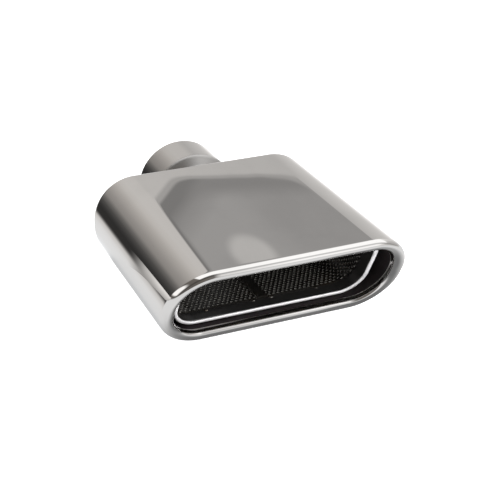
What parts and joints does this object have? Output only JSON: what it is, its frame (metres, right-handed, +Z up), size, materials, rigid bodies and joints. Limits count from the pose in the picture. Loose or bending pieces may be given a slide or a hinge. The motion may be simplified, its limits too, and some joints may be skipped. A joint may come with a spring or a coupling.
{
  "type": "exhaust tip",
  "caption": "Flat-oval double-skin exhaust tip with a slash-cut rolled lip, a perforated core and a round slip-on inlet neck.",
  "frame": {"origin": "centre of the open end of the inlet neck", "axes": "+Y out of the neck along its axis, towards the tailpipe; the mouth faces -Y; +Z up; +X to the right seen from the mouth"},
  "size_m": [0.154, 0.198, 0.06],
  "materials": {
    "polished_stainless": "mirror-polished stainless sheet",
    "neck_stainless": "polished stainless tube",
    "collar_stainless": "bright rolled edge, dull sheet behind it",
    "perforated_steel": "dark mill-finish perforated sheet",
    "packing_fibre": "loose mineral fibre mat",
    "weld_metal": "rippled weld bead"
  },
  "bodies": {
    "root": {"outer_shell": "polished_stainless", "end_cap": "polished_stainless", "inlet_neck": "neck_stainless", "neck_weld": "weld_metal", "front_collar": "collar_stainless", "perforated_core": "perforated_steel", "rear_collar": "collar_stainless", "packing_wrap": "packing_fibre", "core_tacks": "weld_metal", "collar_tacks": "weld_metal"}
  },
  "joints": []
}
